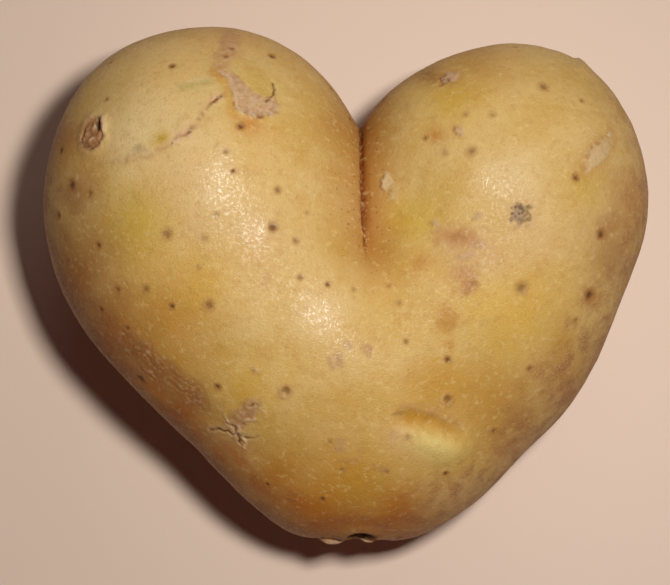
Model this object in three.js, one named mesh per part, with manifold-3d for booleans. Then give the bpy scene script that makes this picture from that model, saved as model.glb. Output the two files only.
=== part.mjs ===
// A heart-shaped potato. Two round arms grew side by side from one blunt tip, and press against
// each other along a cleft. It is one solid, and it lies flat on three small flat spots.
// Millimetres. +X runs from the left arm to the right arm, +Y from the tip to the open end of
// the cleft, and +Z up. The origin is under the middle of the potato, on what it lies on.
import * as THREE from "three";
import { mergeVertices } from "three/addons/utils/BufferGeometryUtils.js";
import Module from "manifold-3d";

// Driving dimensions
const WIDTH = 92; // across both arms
const FLATNESS = 0.9; // how much lower an arm is than it is wide
const FLAT_DEPTH = 0.45; // how much the flat spots take off the lowest skin

// Each arm is a row of stations along its middle: x, y, height of the middle, and radius. The
// stations are for round arms, and FLATNESS then lowers the whole potato.
const LEFT_ARM = [
  [-21.2, 14.4, 25.0, 25.0],
  [-19.3, 2.2, 25.0, 22.4],
  [-10.2, -10.2, 22.6, 18.8],
  [-3.5, -18.2, 20.4, 18.7],
  [3.5, -18.3, 20.4, 18.6],
];
const RIGHT_ARM = [
  [13.0, 13.0, 26.0, 14.4],
  [23.3, 14.5, 22.5, 22.5],
  [19.2, -3.2, 21.8, 20.4],
  [10.3, -15.0, 20.4, 18.2],
];
// The body fills the fork between the arms, so that the cleft ends and the skin domes over it.
const BODY = [
  [-8.0, -3.5, 25.0, 21.0],
  [-3.0, -9.0, 25.5, 20.0],
  [1.0, -15.0, 23.0, 18.5],
];
const BODY_SOFTNESS = 8;
const BALLS_PER_STATION = 8;

// The arms run into each other softly at the root of the cleft, and sharply at its mouth.
const CLEFT_X = 1.9;
const CLEFT_ROOT = { y: -6, softness: 8 };
const CLEFT_MOUTH = { y: 9, softness: 0.6 };

// Swells and hollows of the skin: where, how far each reaches, and how much it stands out.
const SWELLS = [
  { at: [-46, 1, 22], reach: 6, rise: 0.5 }, // low on the left side
  { at: [-46, 21, 22], reach: 9, rise: -2.4 }, // high on the left side
  { at: [-33, -13, 20], reach: 13, rise: -2.2 }, // the long left flank
  { at: [-18, -32, 18], reach: 9, rise: -1.6 },
  { at: [-9, -39, 18], reach: 5, rise: 0.6 }, // both sides of the tip
  { at: [10, -39, 18], reach: 6, rise: 0.8 },
  { at: [43, -1, 20], reach: 9, rise: -1.4 }, // the waist of the right side
  { at: [35, 34, 20], reach: 12, rise: 2.0 }, // the shoulders of the right arm
  { at: [14, 35, 20], reach: 8, rise: -1.6 },
  { at: [-12, 38, 22], reach: 12, rise: 0.6 }, // the top of the left arm
  { at: [-37, 34, 22], reach: 9, rise: 0.6 },
  { at: [13, 0, 38], reach: 9, rise: 1.8 }, // the right arm swells beside the root of the cleft
  { at: [2.5, 3, 37], reach: 5, rise: -2.0 }, // the cleft runs straight past it
  { at: [0.6, -38.2, 19], reach: 3.5, rise: -2.2 }, // the scar of the stolon
  { at: [11.5, -20.5, 38], reach: 3.4, rise: -0.8 }, // an eye under its brow
];

// How the skin is divided
const SEED = new THREE.Vector3(CLEFT_X, -9, 21); // a point inside both arms
const REACH = 64; // the first stride from the seed, over half the way to any skin
const FACES_PER_EDGE = 29;
const SETTLING_ROUNDS = 120; // how often the points slide apart
const SLIDE = 0.6; // how far a point slides towards the middle of its neighbours
const PULLS = 2; // how often a point is then pulled back to the skin
const LEAST_SLOPE = 0.1; // keeps a pull short where the skin is folded
const STEP = 0.01;

const wasm = await Module();
wasm.setup();

// Balls strung closely along a smooth curve through an arm's stations.
function stringBalls(stations) {
  const line = (points) => new THREE.CatmullRomCurve3(points, false, "catmullrom");
  const middles = line(stations.map(([x, y, z]) => new THREE.Vector3(x, y, z)));
  const radii = line(stations.map(([, , , radius]) => new THREE.Vector3(radius, 0, 0)));
  const count = (stations.length - 1) * BALLS_PER_STATION;
  return Array.from({ length: count + 1 }, (_, i) => {
    const { x, y, z } = middles.getPoint(i / count);
    return { x, y, z, radius: radii.getPoint(i / count).x };
  });
}
const leftBalls = stringBalls(LEFT_ARM);
const rightBalls = stringBalls(RIGHT_ARM);
const bodyBalls = stringBalls(BODY);

// How far a point is outside an arm. The arm's radius changes evenly from ball to ball.
function outsideArm(x, y, z, balls) {
  let nearest = Infinity;
  for (let i = 1; i < balls.length; i++) {
    const [a, b] = [balls[i - 1], balls[i]];
    const [dx, dy, dz] = [b.x - a.x, b.y - a.y, b.z - a.z];
    const along = ((x - a.x) * dx + (y - a.y) * dy + (z - a.z) * dz) / (dx * dx + dy * dy + dz * dz);
    const t = Math.min(Math.max(along, 0), 1);
    const distance = Math.hypot(x - a.x - t * dx, y - a.y - t * dy, z - a.z - t * dz);
    nearest = Math.min(nearest, distance - a.radius - t * (b.radius - a.radius));
  }
  return nearest;
}

// How much the swells and hollows raise the skin at a point.
function raisedBySwells(x, y, z) {
  return SWELLS.reduce((sum, { at, reach, rise }) => {
    const away = ((x - at[0]) ** 2 + (y - at[1]) ** 2 + (z - at[2]) ** 2) / reach ** 2;
    return sum + rise * Math.exp(-away);
  }, 0);
}

// Two shapes as one, with a fillet where they meet.
function joinSoftly(a, b, softness) {
  const overlap = Math.max(softness - Math.abs(a - b), 0);
  return Math.min(a, b) - overlap ** 2 / (4 * softness);
}

// How far a point is outside the potato, near its skin: less than nothing inside.
function outsidePotato(x, y, z) {
  const left = outsideArm(x, y, z, leftBalls);
  const right = outsideArm(x, y, z, rightBalls);
  const towardsMouth = THREE.MathUtils.smoothstep(y, CLEFT_ROOT.y, CLEFT_MOUTH.y);
  const softness = THREE.MathUtils.lerp(CLEFT_ROOT.softness, CLEFT_MOUTH.softness, towardsMouth);
  const arms = joinSoftly(left, right, softness);
  const body = outsideArm(x, y, z, bodyBalls);
  return joinSoftly(arms, body, BODY_SOFTNESS) - raisedBySwells(x, y, z);
}

// Where a ray from the seed leaves the potato.
function reachSkin(direction) {
  const point = SEED.clone();
  for (let stride = REACH; stride > STEP; stride /= 2) {
    const next = point.clone().addScaledVector(direction, stride);
    if (outsidePotato(next.x, next.y, next.z) < 0) point.copy(next);
  }
  return point;
}

// Pulls a point to the skin. A point of the seam also stays where the two arms meet.
function pullToSkin(point, side) {
  for (let pull = 0; pull < PULLS; pull++) {
    const { x, y, z } = point;
    const outside = outsidePotato(x, y, z);
    const slope = new THREE.Vector3(
      side === 0 ? 0 : outsidePotato(x + STEP, y, z) - outside,
      outsidePotato(x, y + STEP, z) - outside,
      outsidePotato(x, y, z + STEP) - outside,
    ).divideScalar(STEP);
    point.addScaledVector(slope, -outside / Math.max(slope.lengthSq(), LEAST_SLOPE));
  }
  const { x, y, z } = point;
  const inCleft = THREE.MathUtils.smoothstep(y, CLEFT_ROOT.y, CLEFT_MOUTH.y);
  const offMiddle = (outsideArm(x, y, z, leftBalls) - outsideArm(x, y, z, rightBalls)) / 2;
  if (side === 0) point.x = THREE.MathUtils.lerp(CLEFT_X, x - offMiddle, inCleft);
}

// A skin of even triangles, with one seam of edges along the cleft.
function growSkin() {
  const ball = new THREE.OctahedronGeometry(1, FACES_PER_EDGE);
  ball.deleteAttribute("normal");
  ball.deleteAttribute("uv");
  const geometry = mergeVertices(ball);
  const position = geometry.getAttribute("position");
  const directions = Array.from({ length: position.count }, (_, i) =>
    new THREE.Vector3().fromBufferAttribute(position, i).normalize(),
  );
  const sides = directions.map(({ x }) => (Math.abs(x) < 1e-5 ? 0 : Math.sign(x)));
  const points = directions.map(reachSkin);

  const neighbours = points.map(() => new Set());
  const corners = geometry.index.array;
  for (let i = 0; i < corners.length; i++) {
    const next = i % 3 === 2 ? i - 2 : i + 1;
    neighbours[corners[i]].add(corners[next]);
    neighbours[corners[next]].add(corners[i]);
  }
  const near = neighbours.map((set, i) => [...set].filter((j) => sides[i] !== 0 || sides[j] === 0));

  for (let round = 0; round < SETTLING_ROUNDS; round++) {
    points.forEach((point, i) => {
      const middle = new THREE.Vector3();
      near[i].forEach((j) => middle.add(points[j]));
      point.lerp(middle.divideScalar(near[i].length), SLIDE);
      pullToSkin(point, sides[i]);
    });
  }
  points.forEach(({ x, y, z }, i) => position.setXYZ(i, x, y, z));
  return geometry;
}

function toSolid(geometry) {
  const plain = mergeVertices(geometry);
  const vertProperties = new Float32Array(plain.getAttribute("position").array);
  const triVerts = new Uint32Array(plain.index.array);
  return new wasm.Manifold(new wasm.Mesh({ numProp: 3, vertProperties, triVerts }));
}

function toGeometry(solid) {
  const { vertProperties, triVerts } = solid.getMesh();
  const geometry = new THREE.BufferGeometry();
  geometry.setAttribute("position", new THREE.BufferAttribute(vertProperties, 3));
  geometry.setIndex(new THREE.BufferAttribute(triVerts, 1));
  geometry.computeVertexNormals();
  return geometry;
}

// Takes off what is below the table, which leaves the flat spots.
function cutFlatSpots(geometry) {
  const table = new THREE.BoxGeometry(2 * WIDTH, 2 * WIDTH, WIDTH).translate(0, 0, -WIDTH / 2);
  table.deleteAttribute("normal");
  table.deleteAttribute("uv");
  return toGeometry(toSolid(geometry).subtract(toSolid(table)));
}

function makePotato() {
  const skin = growSkin();
  skin.translate(0, 0, -FLAT_DEPTH).scale(1, 1, FLATNESS);
  skin.computeBoundingBox();
  const { min, max } = skin.boundingBox;
  const scale = WIDTH / (max.x - min.x);
  skin.translate(-(min.x + max.x) / 2, -(min.y + max.y) / 2, 0).scale(scale, scale, scale);
  const material = new THREE.MeshStandardMaterial({ color: 0xc79a4e, roughness: 0.55, metalness: 0 });
  const potato = new THREE.Mesh(cutFlatSpots(skin), material);
  potato.name = "potato";
  return potato;
}

const group = new THREE.Group();
group.add(makePotato());
export default group;
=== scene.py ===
import math
import random

import bpy
import numpy as np
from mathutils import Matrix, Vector, noise


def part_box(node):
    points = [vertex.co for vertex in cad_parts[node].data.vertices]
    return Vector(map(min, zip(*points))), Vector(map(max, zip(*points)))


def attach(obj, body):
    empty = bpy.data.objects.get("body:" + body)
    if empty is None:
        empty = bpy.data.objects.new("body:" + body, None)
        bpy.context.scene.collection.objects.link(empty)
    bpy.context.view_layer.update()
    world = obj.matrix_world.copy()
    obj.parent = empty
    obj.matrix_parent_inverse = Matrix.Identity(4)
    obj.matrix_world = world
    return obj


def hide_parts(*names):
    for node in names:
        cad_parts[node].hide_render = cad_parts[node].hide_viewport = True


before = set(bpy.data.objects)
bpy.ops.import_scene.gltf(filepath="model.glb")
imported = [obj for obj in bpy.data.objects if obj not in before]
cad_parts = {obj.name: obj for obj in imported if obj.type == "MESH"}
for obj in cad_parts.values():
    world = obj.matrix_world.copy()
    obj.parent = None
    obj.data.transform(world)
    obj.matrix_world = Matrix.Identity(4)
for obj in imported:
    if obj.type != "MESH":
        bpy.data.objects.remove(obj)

mm = 0.001
noise.seed_set(7)  # ragged outlines come out the same each time
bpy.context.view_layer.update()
low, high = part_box("potato")
middle = (low + high) / 2

# Places on the skin are (x, y) in mm from the middle of the potato, as seen from above.
# Colours are red, green and blue from 0 to 255, as a paint chart gives them.


def linear(colour):
    return [((c / 255 + 0.055) / 1.055) ** 2.4 for c in colour]


def deselectAll():
    bpy.ops.object.select_all(action="DESELECT")


def makeActive(piece):
    deselectAll()
    piece.select_set(True)
    bpy.context.view_layer.objects.active = piece


# camera, light and floor

stand = {
    "height": 85,  # degrees above the horizon
    "distance": 0.300,
    "lens": 105.8,
    "aim": (-2.0, -1.4, 21.0),
}

light = {
    "place": (0.048, 0.013, 0.285),
    "size": 0.031,
    "power": 0.66,
    "colour": (1.0, 0.97, 0.91),
    "fillPlace": (0.35, 0.95, 0.55),  # a large soft light behind the open end of the cleft
    "fillSize": 0.8,
    "fillPower": 1.6,
    "sky": 0.043,
    "skyColour": (1.0, 0.50, 0.54),
}


def makeCamera():
    up = math.radians(stand["height"])
    aimX, aimY, aimZ = (value * mm for value in stand["aim"])
    aim = Vector((middle.x + aimX, middle.y + aimY, aimZ))
    bpy.ops.object.camera_add()
    camera = bpy.context.object
    camera.location = aim + Vector((0, -math.cos(up), math.sin(up))) * stand["distance"]
    camera.rotation_euler = (math.pi / 2 - up, 0, 0)
    camera.data.lens = stand["lens"]
    camera.data.clip_start = 0.01
    bpy.context.scene.camera = camera


def addLight(place, size, power):
    bpy.ops.object.light_add(type="AREA", location=place)
    lamp = bpy.context.object
    lamp.data.energy = power
    lamp.data.size = size
    lamp.data.color = light["colour"]
    toPotato = Vector((0, 0, 0.02)) - lamp.location
    lamp.rotation_euler = toPotato.to_track_quat("-Z", "Y").to_euler()


def makeLights():
    addLight(light["place"], light["size"], light["power"])
    addLight(light["fillPlace"], light["fillSize"], light["fillPower"])

    world = bpy.data.worlds.new("studio")
    world.use_nodes = True
    background = world.node_tree.nodes["Background"]
    background.inputs["Color"].default_value = (*light["skyColour"], 1)
    background.inputs["Strength"].default_value = light["sky"]
    bpy.context.scene.world = world
    bpy.context.scene.view_settings.view_transform = "Standard"


ground = {
    "size": 3,
    "colour": (0.76, 0.59, 0.48, 1),
    "roughness": 0.6,
}


def makeFloor():
    bpy.ops.mesh.primitive_plane_add(size=ground["size"])
    floor = bpy.context.object
    floor.name = "floor"
    pale = bpy.data.materials.new("pale floor")
    pale.use_nodes = True
    surface = pale.node_tree.nodes["Principled BSDF"]
    surface.inputs["Base Color"].default_value = ground["colour"]
    surface.inputs["Roughness"].default_value = ground["roughness"]
    floor.data.materials.append(pale)


# the skin's mesh

mesh = {
    "merge": 0.2,  # closer points of the flat spots become one
    "cleftAngle": 35,  # degrees, sharper edges are the cleft
    "cleftCrease": 0.7,
    "turnedDown": -0.35,  # faces that look further down stay coarse
    "roundness": 1.0,  # of the first split, which rounds the whole skin
    "detailRoundness": 0.6,  # of the later ones
    "settle": 6,
    "besideCleft": 1.6,
    "upwards": 0.15,  # marks seen from above are on faces that look up at least so far
}

# where the mesh is split once more: place, and how far around it
closeWork = [
    (-36.8, 19.9, 4.2), (-15.5, 25.5, 5.5), (-17.0, -22.5, 4.5), (10.0, -21.0, 5.0),
    (13.5, -23.5, 4.0), (24.6, 8.2, 2.2), (15.1, 29.6, 2.6), (16.0, 20.5, 2.0),
    (5.4, 13.4, 2.0), (37.2, 18.3, 3.2), (-24.0, 18.0, 2.6), (-19.0, 23.4, 1.6),
    (-30.5, -15.0, 1.8), (-28.5, -13.1, 2.4), (-24.0, -16.5, 2.6),
]

# where it is split a third time, for the thinnest lines
finestWork = [
    (-36.4, 20.4, 2.6), (-11.0, 26.0, 1.9), (-27.0, 16.8, 2.4), (-20.2, 22.6, 2.4),
    (-16.2, -23.0, 2.6), (24.6, 8.2, 1.8),
]


def faceArrays(piece):
    count = len(piece.data.polygons)
    centres = np.empty(count * 3)
    normals = np.empty(count * 3)
    piece.data.polygons.foreach_get("center", centres)
    piece.data.polygons.foreach_get("normal", normals)
    return centres.reshape(-1, 3) / mm, normals.reshape(-1, 3)


def splitFaces(piece, chosen, roundness):
    makeActive(piece)
    data = piece.data
    data.vertices.foreach_set("select", np.zeros(len(data.vertices), bool))
    data.edges.foreach_set("select", np.zeros(len(data.edges), bool))
    data.polygons.foreach_set("select", chosen)
    bpy.ops.object.mode_set(mode="EDIT")
    bpy.ops.mesh.select_mode(type="FACE")
    bpy.ops.mesh.subdivide(number_cuts=1, smoothness=roundness)
    bpy.ops.object.mode_set(mode="OBJECT")


def settle(piece, rounds):
    smooth = piece.modifiers.new("settle", "SMOOTH")
    smooth.factor = 0.5
    smooth.iterations = rounds
    bpy.ops.object.modifier_apply(modifier="settle")


def nearPlaces(centres, places):
    near = np.zeros(len(centres), bool)
    for x, y, around in places:
        near |= howFar(centres, (x, y)) < around
    return near


def nearScar(centres, around):
    return np.linalg.norm(centres - np.array(scar["place"]), axis=1) < around


def makeSkin():
    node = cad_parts["potato"]
    piece = bpy.data.objects.new("potato_skin", node.data.copy())
    bpy.context.collection.objects.link(piece)
    makeActive(piece)

    bpy.ops.object.mode_set(mode="EDIT")
    bpy.ops.mesh.select_all(action="SELECT")
    bpy.ops.mesh.remove_doubles(threshold=mesh["merge"] * mm)
    bpy.ops.mesh.select_all(action="DESELECT")
    bpy.ops.mesh.edges_select_sharp(sharpness=math.radians(mesh["cleftAngle"]))
    bpy.ops.transform.edge_crease(value=mesh["cleftCrease"])
    bpy.ops.object.mode_set(mode="OBJECT")

    rounder = piece.modifiers.new("rounder", "SUBSURF")
    rounder.levels = 1
    rounder.render_levels = 1
    bpy.ops.object.modifier_apply(modifier="rounder")

    normals = faceArrays(piece)[1]
    splitFaces(piece, normals[:, 2] > mesh["turnedDown"], mesh["roundness"])
    settle(piece, mesh["settle"])

    centres, normals = faceArrays(piece)
    aroundPores = [(x, y, topPores["closeWork"])
                   for kind in topPores["tones"] for x, y in topPores[kind]]
    close = nearPlaces(centres, closeWork + aroundPores)
    close |= np.abs(toLine(centres[:, :2], cleft["path"])[0]) < mesh["besideCleft"]
    close &= normals[:, 2] > mesh["upwards"]
    splitFaces(piece, close | nearScar(centres, scar["closeWork"]), mesh["detailRoundness"])

    centres, normals = faceArrays(piece)
    finest = nearPlaces(centres, finestWork) & (normals[:, 2] > mesh["upwards"])
    splitFaces(piece, finest | nearScar(centres, scar["finestWork"]), mesh["detailRoundness"])
    bpy.ops.object.shade_smooth()
    print("skin:", len(piece.data.vertices), "points,", len(piece.data.polygons), "faces")
    return piece


# marks: relief, paint and roughness for every point of the skin

def startMarks(piece):
    count = len(piece.data.vertices)
    points = np.empty(count * 3)
    normals = np.empty(count * 3)
    piece.data.vertices.foreach_get("co", points)
    piece.data.vertex_normals.foreach_get("vector", normals)
    points = points.reshape(-1, 3) / mm
    normals = normals.reshape(-1, 3)
    return {
        "points": points,
        "normals": normals,
        "plan": points[:, :2] - np.array([middle.x, middle.y]) / mm,
        "top": ease(normals[:, 2], 0.05, 0.3),
        "height": np.zeros(count),
        "colour": np.zeros((count, 3)),
        "cover": np.zeros(count),
        "rough": np.zeros(count),
        "russet": np.zeros(count),
        "dots": np.zeros(count),
    }


def ease(value, start, end):
    # 0 at start, 1 at end, and soft between
    t = np.clip((value - start) / (end - start), 0, 1)
    return t * t * (3 - 2 * t)


def bell(value, reach):
    # 1 in the middle, falling softly to both sides
    return np.exp(-(value / reach) ** 2)


def unevenness(points, size, shift=0.0):
    # a smooth noise from about -1 to 1, its lumps about size across
    return np.array([noise.noise(Vector(p) / size + Vector((shift, 0, 0))) for p in points.tolist()])


def drift(points, size, shift=0.0):
    # the same in all three directions
    shifted = Vector((shift, 0, 0))
    return np.array([noise.noise_vector(Vector(p) / size + shifted) for p in points.tolist()])


def wobble(marks, size, amount, shift=0.0):
    # the plan with its places moved about, so that drawn outlines come out ragged
    return marks["plan"] + amount * drift(marks["points"], size, shift)[:, :2]


def howFar(plan, place):
    return np.hypot(plan[:, 0] - place[0], plan[:, 1] - place[1])


def toLine(plan, path):
    # distance from a line, which is less than nothing on its right, and how far along it is, 0 to 1
    nearest = np.full(len(plan), np.inf)
    side = np.ones(len(plan))
    along = np.zeros(len(plan))
    for i in range(len(path) - 1):
        start = np.array(path[i])
        step = np.array(path[i + 1]) - start
        t = np.clip((plan - start) @ step / (step @ step), 0, 1)
        off = plan - start - t[:, None] * step
        away = np.hypot(off[:, 0], off[:, 1])
        nearer = away < nearest
        nearest[nearer] = away[nearer]
        side[nearer] = np.where(step[0] * off[:, 1] - step[1] * off[:, 0] < 0, -1, 1)[nearer]
        along[nearer] = (i + t[nearer]) / (len(path) - 1)
    return nearest * side, along


def toPatch(plan, outline):
    # distance from the edge of a patch, less than nothing inside it
    inside = np.zeros(len(plan), bool)
    for (ax, ay), (bx, by) in zip(outline, outline[1:] + outline[:1]):
        if ay != by:
            across = (plan[:, 1] > ay) != (plan[:, 1] > by)
            inside ^= across & (plan[:, 0] < ax + (plan[:, 1] - ay) * (bx - ax) / (by - ay))
    edge = np.abs(toLine(plan, outline + outline[:1])[0])
    return np.where(inside, -edge, edge)


def toOval(plan, place, size, turn=0):
    # 0 in the middle of an oval, 1 at its edge
    turn = math.radians(turn)
    x, y = plan[:, 0] - place[0], plan[:, 1] - place[1]
    along = x * math.cos(turn) + y * math.sin(turn)
    across = y * math.cos(turn) - x * math.sin(turn)
    return np.hypot(2 * along / size[0], 2 * across / size[1])


def paint(marks, colour, amount, sides=False):
    # sides says that the colour also goes on what looks sideways and down
    amount = np.clip(amount if sides else amount * marks["top"], 0, 1)
    share = amount[:, None]
    marks["colour"] = marks["colour"] * (1 - share) + share * np.array(linear(colour))
    marks["cover"] = marks["cover"] * (1 - amount) + amount


def raiseSkin(marks, height):
    marks["height"] += height * marks["top"]


def atLeast(marks, name, amount):
    marks[name] = np.maximum(marks[name], amount)


def roughen(marks, amount):
    atLeast(marks, "rough", amount * marks["top"])


# soft stains, with painted shade on the rims that turn away from the light and painted sheen where the
# skin shines

stainsShadeAndSheen = [  # place, how far it spreads, colour, and how much it covers
    ((-28.2, 23.0), 7.0, (230, 200, 142), 0.75),
    ((-22.4, 18.6), 4.4, (228, 198, 146), 0.60),
    ((-34.4, 25.6), 4.2, (208, 174, 108), 0.55),
    ((-21.2, 26.0), 4.5, (220, 194, 132), 0.60),
    ((-30.6, 18.4), 3.6, (228, 204, 150), 0.70),
    ((-26.8, 18.0), 1.2, (196, 160, 44), 0.90),
    ((-24.4, 30.0), 5.5, (226, 184, 112), 0.60),
    ((-28.0, 33.0), 5.5, (228, 192, 126), 0.75),
    ((-17.0, 37.0), 4.5, (226, 176, 108), 0.75),
    ((-7.0, 34.0), 4.0, (212, 164, 92), 0.50),
    ((21.0, 36.0), 4.5, (224, 184, 124), 0.70),
    # deeper, more saturated skin over the lower half, partly painted shade
    ((-26.0, -6.0), 7.0, (188, 126, 44), 0.60),
    ((0.0, -28.0), 11.0, (192, 138, 46), 0.45),
    ((18.0, -19.0), 7.0, (186, 138, 50), 0.40),
    ((8.0, -1.0), 6.0, (204, 156, 68), 0.40),
    ((26.0, 4.0), 6.0, (202, 162, 112), 0.45),
    ((-30.3, 6.2), 4.6, (206, 172, 66), 0.75),
    ((-20.5, -2.0), 4.5, (212, 170, 70), 0.60),
    # painted sheen: pale pinkish spots along the highlight on the left arm
    ((-23.5, 12.0), 4.6, (222, 186, 132), 0.55),
    ((-21.5, 5.5), 2.6, (212, 176, 128), 0.40),
    ((-13.0, 4.0), 6.0, (222, 186, 132), 0.50),
    ((-3.5, -7.0), 5.0, (222, 186, 128), 0.50),
    # painted shade: darker, redder skin on the left and lower rims, which turn away from the light
    ((-41.0, -1.0), 5.0, (172, 98, 32), 0.80),
    ((-36.0, -9.0), 5.0, (156, 76, 24), 0.75),
    ((-24.0, -20.0), 4.6, (158, 102, 46), 0.55),
    ((-26.5, -24.0), 4.0, (150, 86, 44), 0.70),
    ((-20.0, -29.5), 4.0, (152, 88, 42), 0.65),
    ((-12.5, -34.5), 3.5, (160, 94, 38), 0.60),
    ((15.5, -32.0), 4.0, (208, 160, 106), 0.55),
    ((24.5, -25.0), 4.5, (206, 158, 110), 0.55),
    # painted shade on the right rim and on the upper left rim
    ((32.0, -15.5), 4.5, (180, 122, 80), 0.50),
    ((42.5, 12.0), 4.5, (180, 124, 82), 0.50),
    ((-42.0, 20.0), 4.0, (162, 94, 50), 0.65),
    ((-2.0, 14.0), 2.6, (206, 156, 84), 0.50),
    ((-1.5, 22.0), 2.4, (192, 138, 74), 0.50),
    ((-13.2, 26.4), 2.4, (198, 166, 76), 0.70),
    # more painted shade on the left rim
    ((-37.5, 3.0), 5.0, (166, 108, 48), 0.55),
    ((-31.0, -9.0), 4.6, (180, 124, 50), 0.55),
    ((-38.6, 12.4), 3.6, (176, 122, 72), 0.60),
    # painted shade along the rim at the tip, in deep orange
    ((-4.5, -34.5), 5.0, (190, 116, 18), 0.90),
    ((6.5, -35.0), 4.5, (186, 114, 22), 0.85),
    ((13.5, -16.5), 5.0, (194, 144, 52), 0.75),
    ((7.5, -24.0), 2.6, (216, 174, 124), 0.60),
    ((-24.5, -11.0), 6.0, (198, 144, 60), 0.50),
    ((-28.0, 0.0), 4.5, (218, 174, 92), 0.50),
    ((20.5, -19.5), 5.0, (188, 138, 54), 0.70),
    ((29.0, -12.0), 5.0, (186, 142, 72), 0.50),
    ((-12.0, 15.0), 5.0, (220, 182, 112), 0.45),
    ((8.6, 8.6), 3.8, (210, 174, 68), 0.75),
    ((15.2, 25.2), 4.4, (208, 168, 62), 0.65),
    ((25.0, 14.0), 6.0, (216, 188, 136), 0.60),
    ((34.4, 12.4), 3.0, (200, 166, 64), 0.65),
    ((19.0, 33.0), 4.0, (182, 134, 60), 0.50),
    ((20.0, 29.5), 5.0, (196, 146, 66), 0.45),
    ((12.0, 31.0), 2.4, (160, 104, 48), 0.60),
    ((32.0, 27.0), 6.0, (204, 166, 92), 0.40),
    ((23.0, -5.4), 6.5, (212, 170, 70), 0.60),
    ((38.5, 4.0), 5.0, (160, 116, 76), 0.60),
    ((36.0, 16.0), 5.0, (196, 160, 104), 0.45),
    ((5.5, -6.0), 5.0, (206, 165, 82), 0.60),
    ((11.0, 0.8), 1.8, (196, 138, 64), 0.70),
    ((-14.6, -17.6), 3.4, (212, 164, 62), 0.75),
    ((-10.0, -28.2), 3.8, (190, 132, 46), 0.80),
    ((0.5, -30.5), 5.0, (194, 142, 48), 0.75),
    ((16.2, -26.2), 3.6, (208, 168, 74), 0.70),
    ((24.0, -18.0), 5.0, (188, 142, 76), 0.40),
    ((-14.0, 20.6), 2.2, (200, 134, 58), 0.80),
    ((12.6, 19.6), 1.4, (190, 130, 56), 0.80),
]


def makeStainsShadeAndSheen(marks):
    plan = wobble(marks, 6.0, 1.6)
    for place, spread, colour, amount in stainsShadeAndSheen:
        paint(marks, colour, amount * bell(howFar(plan, place), spread))


# smudges with ragged edges

smudges = [  # place, size, turn, colour, and how much it covers
    ((17.5, 2.5), (11.0, 9.0), 0, (200, 158, 108), 0.65),
    ((15.6, 4.9), (7.6, 3.6), -6, (188, 134, 84), 0.85),
    ((15.7, 4.9), (2.8, 2.4), 0, (174, 116, 64), 0.75),
    ((18.4, 3.8), (2.6, 1.6), 0, (184, 142, 112), 0.60),
    ((12.6, 6.0), (2.2, 1.6), 20, (190, 140, 96), 0.60),
    ((16.6, -1.2), (4.6, 5.4), 0, (184, 130, 74), 0.80),
    ((16.9, -2.2), (2.6, 2.4), 0, (166, 108, 58), 0.60),
    ((14.0, -6.6), (3.6, 4.2), 0, (180, 120, 38), 0.75),
    ((14.3, -11.0), (2.2, 2.6), 0, (198, 138, 60), 0.60),
    ((-1.9, -13.0), (2.4, 3.0), -20, (166, 118, 84), 0.75),
    ((-0.2, -10.6), (1.8, 1.6), 0, (180, 132, 94), 0.60),
    ((2.5, -11.1), (2.0, 2.2), 0, (172, 120, 82), 0.70),
    ((-12.0, -1.0), (1.6, 3.4), 10, (190, 142, 96), 0.45),
    ((-39.6, 10.8), (4.0, 5.0), 0, (162, 108, 68), 0.60),
    ((-33.0, -3.5), (5.5, 5.0), 20, (168, 112, 52), 0.55),
    ((37.4, 7.0), (3.6, 5.0), -20, (170, 122, 82), 0.55),
    ((35.4, -3.4), (3.4, 3.0), 0, (164, 104, 58), 0.65),
    ((12.2, 29.8), (3.0, 2.6), 0, (156, 100, 46), 0.70),
    ((-17.6, 32.4), (3.0, 4.4), -15, (184, 130, 92), 0.50),
    ((-30.2, 17.3), (1.6, 1.8), 30, (172, 150, 112), 0.85),
    ((-29.0, 17.0), (1.1, 1.3), -30, (176, 154, 118), 0.80),
    ((-1.4, -24.8), (2.2, 1.6), 0, (178, 134, 104), 0.55),
    ((0.4, -26.8), (3.6, 1.2), 10, (182, 136, 100), 0.50),
    ((4.9, -28.2), (2.0, 1.6), 0, (180, 134, 100), 0.50),
    ((6.8, -23.4), (1.6, 1.4), 0, (182, 138, 104), 0.50),
]


def makeSmudges(marks):
    plan = wobble(marks, 1.2, 0.7, 67.0)
    mottled = unevenness(marks["points"], 0.8, 39.0)
    for place, size, turn, colour, amount in smudges:
        oval = toOval(plan, place, size, turn) + 0.3 * mottled
        paint(marks, colour, amount * ease(oval, 1.25, 0.5) * (0.75 + 0.45 * mottled))


# where the skin is waxy, the rest is duller

shine = [  # place, how far it spreads, and how waxy it is
    ((-18.4, 12.2), 3.6, 1.0),
    ((-13.6, 5.6), 3.0, 1.0),
    ((-16.0, 9.0), 5.5, 0.6),
    ((-3.2, -5.2), 4.2, 1.0),
    ((-1.0, -11.0), 3.0, 0.6),
    ((20.0, 13.2), 3.6, 0.7),
    ((14.0, 9.0), 2.4, 0.4),
]
dullness = 0.55


def makeShine(marks):
    plan = wobble(marks, 3.0, 1.2, 61.0)
    waxy = np.zeros(len(plan))
    for place, spread, amount in shine:
        waxy = np.maximum(waxy, amount * bell(howFar(plan, place), spread))
    marks["rough"] = dullness * (1 - waxy)


# broad relief of the upper side

swells = [  # place, how far it spreads, height
    ((14.0, -5.0), 6.5, 0.55),
    ((4.5, -3.0), 4.0, -0.45),
    ((-5.0, -6.0), 5.0, 0.30),
    ((17.0, 15.0), 6.0, 0.25),
    ((22.0, 5.0), 5.0, -0.20),
    ((-13.0, -20.0), 6.0, 0.25),
    ((-1.0, -22.0), 5.0, -0.20),
]


def makeSwells(marks):
    for place, spread, height in swells:
        raiseSkin(marks, height * bell(howFar(marks["plan"], place), spread))


# the cleft between the arms

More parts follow.
